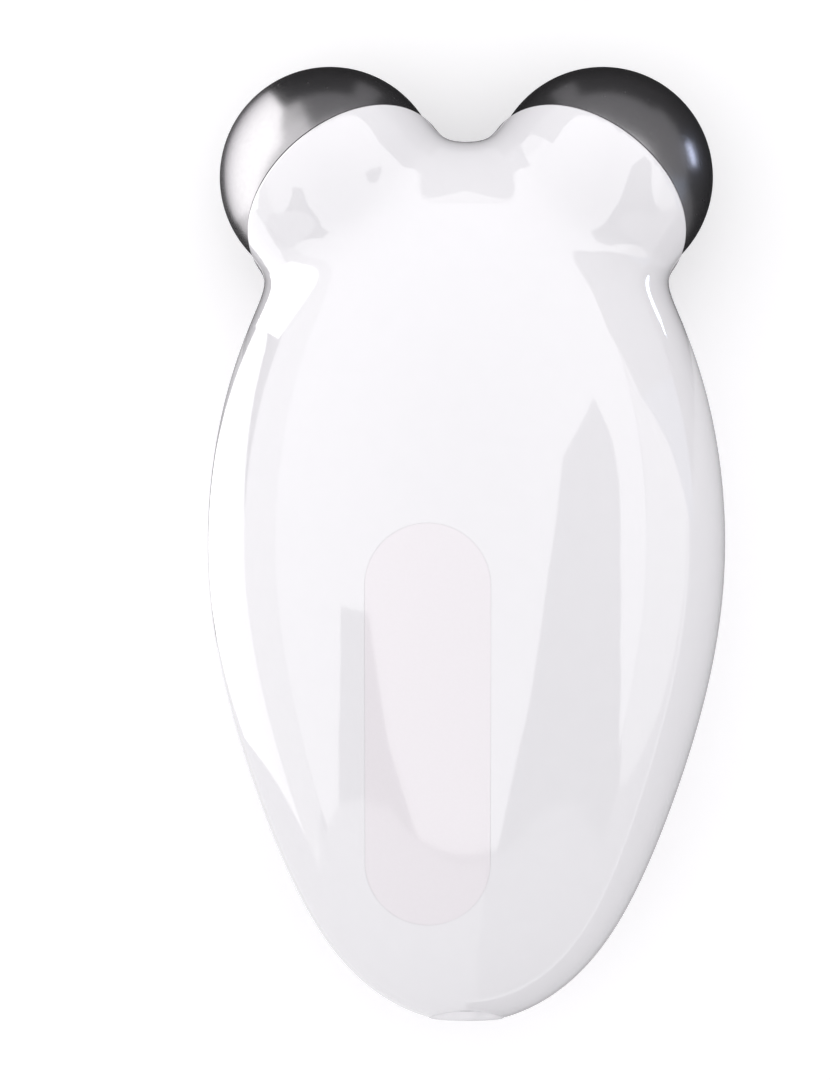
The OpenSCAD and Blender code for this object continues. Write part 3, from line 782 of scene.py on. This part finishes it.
# %% [markdown]
# ## Finishes that show
# Glossy ABS: the casing is moulded in a polished tool, so it mirrors the lamps sharply,
# with only the faint waviness that shrinking plastic leaves. The balls are plated dark
# chrome over a fine blasted surface, which spreads each reflection. The label is a thin
# printed film with a fine grain and a faint pink cast.

# %% A common start for materials
def new_finish(name, base, roughness, metallic=0.0, ior=1.5):
    """A Principled material, its object coordinates and its node tree."""
    material = bpy.data.materials.new(name)
    material.use_nodes = True
    tree = material.node_tree
    tree.nodes.clear()
    shader = add_node(tree, "BsdfPrincipled", {"Base Color": linear(base), "Roughness": roughness,
                                               "Metallic": metallic, "IOR": ior})
    add_node(tree, "OutputMaterial", links={"Surface": shader.outputs["BSDF"]})
    place = add_node(tree, "TexCoord").outputs["Object"]
    return material, tree, shader, place


def add_grain(tree, shader, place, size, depth, colours, roughness, detail=3.0):
    """Noise of a real size that raises the surface, tints it and varies its gloss."""
    noise = add_node(tree, "TexNoise", {"Scale": 1 / size, "Detail": detail}, {"Vector": place})
    bump = add_node(tree, "Bump", {"Distance": depth, "Strength": 1.0},
                    {"Height": noise.outputs[0]})
    tint = add_node(tree, "Mix", {"data_type": "RGBA", 6: linear(colours[0]),
                                  7: linear(colours[1])}, {0: noise.outputs[0]})
    gloss = add_node(tree, "MapRange", {"To Min": roughness[0], "To Max": roughness[1]},
                     {"Value": noise.outputs[0]})
    tree.links.new(bump.outputs[0], shader.inputs["Normal"])
    tree.links.new(tint.outputs[2], shader.inputs["Base Color"])
    tree.links.new(gloss.outputs[0], shader.inputs["Roughness"])


def add_coat(shader, roughness):
    """A clear hard skin over the colour."""
    for key, value in (("Weight", 1.0), ("IOR", 1.6), ("Roughness", roughness)):
        shader.inputs["Coat " + key].default_value = value


# %% Casing, balls and label
def polished_white_abs():
    """ABS with a clear polish: ripples a few millimetres wide, well under a micron deep."""
    material, tree, shader, place = new_finish("polished_white_abs", "#F8F6F9", 0.06, ior=1.54)
    add_grain(tree, shader, place, 2.5 * MM, 0.0004 * MM, ("#F7F5F8", "#F9F7FA"), (0.05, 0.08), 1.0)
    add_coat(shader, 0.04)
    return material


def dark_satin_chrome():
    """Black chrome over a bead-blasted ball, with a grain too fine to feel."""
    material, tree, shader, place = new_finish("dark_satin_chrome", "#A5A3A5", 0.26, metallic=1.0)
    add_grain(tree, shader, place, 0.6 * MM, 0.0001 * MM, ("#A2A0A2", "#A8A6A8"), (0.25, 0.28), 1.0)
    # The dark edge tint is partly the black plating's own colour and partly painted shade: it
    # darkens the ball's reflections towards its outline.
    shader.inputs["Specular Tint"].default_value = linear("#5A5A5C")
    return material


def grained_label_film():
    """Polycarbonate film with a fine printed grain and a faint pink cast."""
    material, tree, shader, place = new_finish("grained_label_film", "#F7F2F6", 0.1, ior=1.54)
    add_grain(tree, shader, place, 0.35 * MM, 0.0012 * MM, ("#F6F0F4", "#F8F3F7"), (0.08, 0.14),
              4.0)
    add_coat(shader, 0.05)
    return material


WHITE_ABS = polished_white_abs()
print("finish:", WHITE_ABS.name)

# %% Casing pieces
BUTTON_Y = 18 * MM
button_start = reach(np.array([[0, BUTTON_Y, PARTING]]), np.array([[0.0, 0.0, -1.0]]))
BUTTON_CENTRE = Vector(button_start[0])
BUTTON_IN = Vector(-skin_normal(button_start)[0])
RING_OUT, RING_IN = 7.45 * MM, 6.1 * MM
FIT = 0.05 * MM
LIGHT_Y, LIGHT_RADIUS = 27.5 * MM, 0.95 * MM
LIGHT_XS = [-5 * MM, 0.0, 5 * MM]
PORT_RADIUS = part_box("charge_port_bezel")[1].x
PORT_START, PORT_CUT = (0, -60 * MM, PARTING), 9.5 * MM
BUTTON_START = BUTTON_CENTRE - 3 * MM * BUTTON_IN
RING_CUT, WELL_RADIUS, WELL_CUT, LIGHT_CUT = 4.3 * MM, 6.7 * MM, 8 * MM, 7 * MM

casing_back = new_piece("casing_back", back_mesh, "handle", "casing", WHITE_ABS, "rear_shell")
casing_front = new_piece("casing_front", front_mesh, "handle", "casing", WHITE_ABS, "front_shell")
for half in (casing_back, casing_front):
    combine(half, rod(PORT_RADIUS + FIT, PORT_START, (0, 1, 0), PORT_CUT))
for radius, length in ((RING_OUT + FIT, RING_CUT), (WELL_RADIUS, WELL_CUT)):
    combine(casing_front, rod(radius, BUTTON_START, BUTTON_IN, length))
for x in LIGHT_XS:
    combine(casing_front, rod(LIGHT_RADIUS + FIT, (x, LIGHT_Y, 0), (0, 0, 1), LIGHT_CUT, 48))
print("button axis into the casing:", [round(v, 4) for v in BUTTON_IN])

# %% [markdown]
# ## Label
# The label is a pill shape: a circle whose two halves are drawn apart. Its prism, kept
# only between two depths below the skin, is the film itself.

# %% Label and its pocket
LABEL_X, LABEL_Y = -4.7 * MM, -21.5 * MM
LABEL_WIDTH, LABEL_LENGTH = 14.8 * MM, 47.5 * MM
LABEL_DEPTH = 0.3 * MM
LABEL_FIT = 0.015 * MM
PRISM_MARGIN = 5 * MM
PILL_SEGMENTS = 190


def pill_prism(radius, straight, low, high):
    """An upright prism with a pill-shaped outline."""
    bm = bmesh.new()
    bmesh.ops.create_circle(bm, cap_ends=True, segments=PILL_SEGMENTS, radius=radius)
    bmesh.ops.rotate(bm, verts=bm.verts, matrix=Matrix.Rotation(math.pi / PILL_SEGMENTS, 3, "Z"))
    for vert in bm.verts:
        vert.co.y += math.copysign(straight, vert.co.y)
    raised = bmesh.ops.extrude_face_region(bm, geom=bm.faces[:])["geom"]
    upper = [g for g in raised if isinstance(g, bmesh.types.BMVert)]
    bmesh.ops.translate(bm, verts=bm.verts, vec=(LABEL_X, LABEL_Y, low))
    bmesh.ops.translate(bm, verts=upper, vec=(0, 0, high - low))
    bmesh.ops.recalc_face_normals(bm, faces=bm.faces)
    return bm


def back_dome(inset):
    """The back half of the skin, closed flat at the joint."""
    bm = new_skin(1, inset)
    fill_flat(bm, [e for e in bm.edges if e.is_boundary])
    bmesh.ops.recalc_face_normals(bm, faces=bm.faces)
    return bm


def make_label():
    """Cuts the pocket, and makes the film that fills it."""
    radius, straight = LABEL_WIDTH / 2, (LABEL_LENGTH - LABEL_WIDTH) / 2
    low, high = PARTING + PRISM_MARGIN, PARTING + BACK + PRISM_MARGIN
    pocket = new_piece("pocket", pill_prism(radius, straight, low, high), "handle", "label",
                       WHITE_ABS)
    combine(pocket, back_dome(LABEL_DEPTH))
    tool = bmesh.new()
    tool.from_mesh(pocket.data)
    bpy.data.objects.remove(pocket)
    combine(casing_back, tool)
    label = new_piece("label", pill_prism(radius - LABEL_FIT, straight, low, high), "handle",
                      "label", grained_label_film(), "rear_label")
    combine(label, back_dome(0.0), "INTERSECT")
    combine(label, back_dome(LABEL_DEPTH))
    return label


label = make_label()
for piece in (casing_back, casing_front, label):
    print(piece.name, len(piece.data.polygons), "faces,",
          true_normals(piece, skin_gap, skin_normal), "points on the skin")

# %% [markdown]
# ## Turned pieces
# Balls, port bezel, button ring, button cap and light windows are all round, so each is
# a profile spun about its axis. A profile lists radius and height, with its round
# stretches given as arcs, so every edge gets the small radius that a tool leaves.

# %% Spinning a profile
def arc(centre, radius, start, end, steps):
    """Points of an arc in a profile, angles in degrees from the outward direction."""
    turns = [math.radians(start + (end - start) * k / steps) for k in range(steps + 1)]
    return [(centre[0] + radius * math.cos(t), centre[1] + radius * math.sin(t)) for t in turns]


def turned(profile, steps, origin, axis, closed=False):
    """Spins a profile of (radius, height) pairs in mm about an axis through an origin."""
    bm = bmesh.new()
    verts = [bm.verts.new((r * MM, 0, h * MM)) for r, h in profile]
    pairs = list(zip(verts, verts[1:])) + ([(verts[-1], verts[0])] if closed else [])
    edges = [bm.edges.new(pair) for pair in pairs]
    bmesh.ops.spin(bm, geom=verts + edges, cent=(0, 0, 0), axis=(0, 0, 1), angle=2 * math.pi,
                   steps=steps, use_merge=True)
    bmesh.ops.remove_doubles(bm, verts=bm.verts, dist=1e-7)
    bmesh.ops.recalc_face_normals(bm, faces=bm.faces)
    turn = Vector((0, 0, 1)).rotation_difference(Vector(axis)).to_matrix().to_4x4()
    bmesh.ops.transform(bm, matrix=Matrix.Translation(origin) @ turn, verts=bm.verts)
    return bm


def smooth(piece):
    """Shades a piece smooth, except across its sharp edges."""
    piece.data.shade_smooth()
    piece.data.set_sharp_from_angle(angle=SHARP)
    print(piece.name, len(piece.data.polygons), "faces")


print("an arc of two steps:", [(round(r, 2), round(h, 2)) for r, h in arc((0, 0), 1, 0, 90, 2)])

# %% Balls
BALL_WALL = 1.6
BALL_STEPS = 160


def ball_profile():
    """Hollow ball: dome, open base, a neck that fits its seat, and a screw boss."""
    r = BALL_RADIUS / MM
    hollow = r - BALL_WALL
    base, neck, neck_in, boss, bore = -2.9, 7.5, 6.1, 3.2, 1.55
    return (arc((0, 0), r, 90, math.degrees(math.asin(base / r)), 72)
            + arc((0, 0), hollow, math.degrees(math.asin(base / hollow)),
                  math.degrees(math.acos(neck / hollow)), 20)
            + [(neck, -6), (neck_in, -6)]
            + arc((0, 0), hollow, math.degrees(math.acos(neck_in / hollow)),
                  math.degrees(math.acos(boss / hollow)), 12)
            + [(boss, -6.2), (bore, -6.2), (bore, 6), (0, 6)])


def make_ball(name, node, collar, finish):
    centre = np.array(collar.centre)
    ball = new_piece(name, turned(ball_profile(), BALL_STEPS, collar.centre, collar.axis),
                     "handle", "ball", finish, node)
    true_normals(ball, lambda p: np.linalg.norm(p - centre, axis=1) - BALL_RADIUS,
                 lambda p: (p - centre) / np.linalg.norm(p - centre, axis=1, keepdims=True))
    return ball


CHROME = dark_satin_chrome()
balls = [make_ball("ball_left", "left_ball", COLLARS[0], CHROME),
         make_ball("ball_right", "right_ball", COLLARS[1], CHROME)]
print("balls:", [len(b.data.polygons) for b in balls], "faces")

# %% Port bezel
def port_plastic():
    """The same ABS as the casing, moulded with a slightly duller face."""
    material, tree, shader, place = new_finish("moulded_white_bezel", "#F2F0F3", 0.2, ior=1.54)
    add_grain(tree, shader, place, 0.5 * MM, 0.001 * MM, ("#F0EEF1", "#F4F2F5"), (0.16, 0.24))
    return material


def make_port_bezel():
    face, out, bore, sleeve = 0.0, PORT_RADIUS / MM, 1.8, 2.6
    profile = ([(bore, 3.6)] + arc((bore + 0.3, face + 0.3), 0.3, 180, 270, 5)
               + arc((out - 0.5, face + 0.5), 0.5, -90, 0, 6)
               + [(out, 1.2), (sleeve, 1.2), (sleeve, 3.6)])
    tip = Vector((0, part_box("charge_port_bezel")[0].y, PARTING))
    return new_piece("port_bezel", turned(profile, 96, tip, (0, 1, 0), closed=True), "handle",
                     "bezel", port_plastic(), "charge_port_bezel")


smooth(make_port_bezel())

# %% Button ring and button
def satin_anodised_ring():
    """Anodised aluminium: fine turning lines round the ring give it a soft sheen."""
    material, tree, shader, place = new_finish("satin_anodised_ring", "#C9CACD", 0.28, metallic=1.0)
    centred = add_node(tree, "Mapping", {"Location": [-v for v in BUTTON_CENTRE]},
                       {"Vector": place})
    lines = add_node(tree, "TexWave", {"wave_type": "RINGS", "rings_direction": "Z",
                                       "Scale": 1 / (0.6 * MM), "Distortion": 0.4},
                     {"Vector": centred.outputs[0]})
    bump = add_node(tree, "Bump", {"Distance": 0.002 * MM, "Strength": 1.0},
                    {"Height": lines.outputs[0]})
    tone = add_node(tree, "Mix", {"data_type": "RGBA", 6: linear("#C2C3C7"), 7: linear("#D2D3D5")},
                    {0: lines.outputs[0]})
    tree.links.new(bump.outputs[0], shader.inputs["Normal"])
    tree.links.new(tone.outputs[2], shader.inputs["Base Color"])
    return material


def button_plastic():
    """Satin white plastic: the tool is lightly sparked, so the cap is duller than the casing."""
    material, tree, shader, place = new_finish("sparked_white_button", "#EFEEF0", 0.32, ior=1.54)
    add_grain(tree, shader, place, 0.25 * MM, 0.003 * MM, ("#ECEBED", "#F2F1F3"), (0.28, 0.38))
    return material


def ring_profile():
    """A flat ring whose two outer edges are round."""
    out, bore, low, high, edge = RING_OUT / MM, RING_IN / MM, 0.1, 1.25, 0.3
    return ([(bore, high)] + arc((bore + edge, low + edge), edge, 180, 270, 6)
            + arc((out - edge, low + edge), edge, -90, 0, 6) + [(out, high)])


def cap_profile():
    """A dished cap with a round edge, a flange that the ring retains, and a post."""
    cap, rim, dish, dish_radius, edge = 5.9, 0.35, 0.28, 4.9, 0.45
    hollow = [(dish_radius * k / 24, rim + dish * math.cos(math.pi / 2 * k / 24) ** 2)
              for k in range(25)]
    return (hollow + arc((cap - edge, rim + edge), edge, -90, 0, 8)
            + [(cap, 1.4), (6.5, 1.4), (6.5, 2.2), (1.6, 2.2), (1.6, 3.55), (0, 3.55)])


ring = new_piece("button_ring", turned(ring_profile(), 128, BUTTON_CENTRE, BUTTON_IN, closed=True),
                 "handle", "button_ring", satin_anodised_ring(), "button_bezel")
cap = new_piece("button_cap", turned(cap_profile(), 128, BUTTON_CENTRE, BUTTON_IN), "button",
                "button", button_plastic(), "power_button")
smooth(ring)
smooth(cap)

# %% Light windows
def frosted_polycarbonate():
    """Clear moulded polycarbonate with a frosted end that spreads the lamp's light."""
    material, tree, shader, place = new_finish("frosted_polycarbonate", "#EEF3F8", 0.22, ior=1.585)
    add_grain(tree, shader, place, 0.3 * MM, 0.002 * MM, ("#EAF0F6", "#F4F8FB"), (0.18, 0.3))
    shader.inputs["Transmission Weight"].default_value = 0.8
    return material


def make_windows():
    """Three rods with domed ends on one bridge."""
    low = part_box("light_pipe")[0].z
    bridge = bmesh.new()
    bmesh.ops.create_cube(bridge, size=1)
    bmesh.ops.scale(bridge, vec=(13 * MM, 1.8 * MM, 1 * MM), verts=bridge.verts)
    bmesh.ops.translate(bridge, vec=(0, LIGHT_Y, 6.7 * MM), verts=bridge.verts)
    bmesh.ops.bevel(bridge, geom=bridge.edges[:], offset=0.15 * MM, segments=2, profile=0.5,
                    affect="EDGES", material=-1)
    windows = new_piece("light_windows", bridge, "handle", "clear", frosted_polycarbonate(),
                        "light_pipe")
    r = LIGHT_RADIUS / MM
    for x in LIGHT_XS:
        end = reach(np.array([[x, LIGHT_Y, PARTING]]), np.array([[0.0, 0.0, -1.0]]))[0, 2] / MM
        dome = [(0, 0.02)] + arc((0, r * 1.6 + 0.02), r * 1.6, -84, -52, 6)
        profile = dome + [(r, 7.9 - end), (0, 7.9 - end)]
        combine(windows, turned(profile, 48, (x, LIGHT_Y, end * MM), (0, 0, 1)), "UNION")
    print("windows start at", round(low / MM, 2), "mm")
    return windows


smooth(make_windows())

# %% [markdown]
# ## Inner pieces
# Nothing inside shows while the casing is closed, but each piece is real and can be
# opened up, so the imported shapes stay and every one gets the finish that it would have:
# solder mask, sintered ferrite, enamelled wire, zinc-plated steel and plain mouldings.

# %% Finishes of the inner pieces
def plain_finish(name, colours, roughness, size, depth, metallic, ior):
    """A moulded, cast or plated surface: its grain, its depth and its spread of gloss."""
    material, tree, shader, place = new_finish(name, colours[0], roughness[0], metallic, ior)
    add_grain(tree, shader, place, size * MM, depth * MM, colours, roughness)
    return material


# nodes, colours, roughness, grain size and depth in mm, metallic, index of refraction
INNER_FINISHES = {
    # Silicone rubber: matt, soft and slightly dusty
    "silicone_rubber": (
        ["left_seal", "right_seal"],
        ("#28282A", "#303033"), (0.55, 0.7), 0.3, 0.004, 0.0, 1.41),
    # Acetal: a slippery natural plastic with a waxy sheen
    "natural_acetal": (
        ["left_seat", "right_seat", "battery_cradle", "switch_plunger"],
        ("#D8D8DC", "#E2E2E6"), (0.3, 0.4), 0.4, 0.002, 0.0, 1.48),
    # Zinc-plated steel: bright but a little cloudy
    "zinc_plated_steel": (
        ["ball_screws", "case_screws", "board_screws", "jack_pin"],
        ("#B4B6B9", "#C8CACC"), (0.25, 0.4), 0.5, 0.002, 1.0, 1.5),
    # Tinned brass: pale yellow showing through the tin
    "tinned_brass": (
        ["solder_tags"], ("#CBBE93", "#D9CFAE"), (0.25, 0.4), 0.6, 0.002, 1.0, 1.5),
    # Extruded wire insulation: glossy PVC
    "red_pvc": (
        ["left_ball_lead", "right_ball_lead"],
        ("#B41E1E", "#C22626"), (0.35, 0.45), 0.5, 0.002, 0.0, 1.53),
    "black_pvc": (
        ["charge_leads", "battery_leads"],
        ("#1B1B1C", "#242426"), (0.35, 0.45), 0.5, 0.002, 0.0, 1.53),
    # Solder mask: green lacquer over glass weave, which shows as a faint ripple
    "green_solder_mask": (
        ["main_board"], ("#176A3E", "#1F7A49"), (0.2, 0.35), 0.7, 0.004, 0.0, 1.52),
    # Epoxy moulding compound: matt black with fine filler
    "black_epoxy": (
        ["control_chip", "buzzer", "charge_jack", "tact_switch"],
        ("#1D1D1F", "#29292B"), (0.5, 0.65), 0.15, 0.003, 0.0, 1.55),
    # Sintered ferrite: dark grey ceramic with a fine crystal sparkle
    "sintered_ferrite": (
        ["boost_coil"], ("#3A3A3E", "#4A4A4E"), (0.35, 0.6), 0.12, 0.004, 0.0, 1.7),
    # Enamelled copper wire
    "enamelled_copper": (
        ["coil_winding"], ("#B06A35", "#C47C44"), (0.2, 0.3), 0.3, 0.01, 1.0, 1.5),
    # Barium titanate capacitor body, tan and matt
    "tan_ceramic": (
        ["capacitors"], ("#C2A46E", "#CDB181"), (0.45, 0.6), 0.2, 0.003, 0.0, 1.6),
    # Ivory nylon housings
    "ivory_nylon": (
        ["board_connectors"], ("#EAE5D2", "#F1EDDD"), (0.4, 0.5), 0.3, 0.003, 0.0, 1.53),
    # Lamp bodies of white resin
    "lamp_resin": (
        ["indicator_leds"], ("#F1F0D8", "#F7F7E6"), (0.3, 0.4), 0.2, 0.001, 0.0, 1.53),
    # Shrink sleeve over the cell: thin glossy blue PVC
    "blue_shrink_sleeve": (
        ["battery_cell"], ("#3A6CAC", "#4577B6"), (0.2, 0.32), 2.0, 0.01, 0.0, 1.53),
    # Closed-cell foam: open pores that take all the gloss away
    "closed_cell_foam": (
        ["battery_pad"], ("#3A3A3C", "#4A4A4C"), (0.8, 0.95), 0.4, 0.06, 0.0, 1.5),
}


def dress(node, material):
    """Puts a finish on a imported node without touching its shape."""
    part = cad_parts[node]
    if not part.material_slots:
        part.data.materials.append(material)
    for slot in part.material_slots:
        slot.material = material


for name, (nodes, *look) in INNER_FINISHES.items():
    finish = plain_finish(name, *look)
    for node in nodes:
        dress(node, finish)
print("dressed nodes:", sum(len(nodes) for nodes, *_ in INNER_FINISHES.values()))
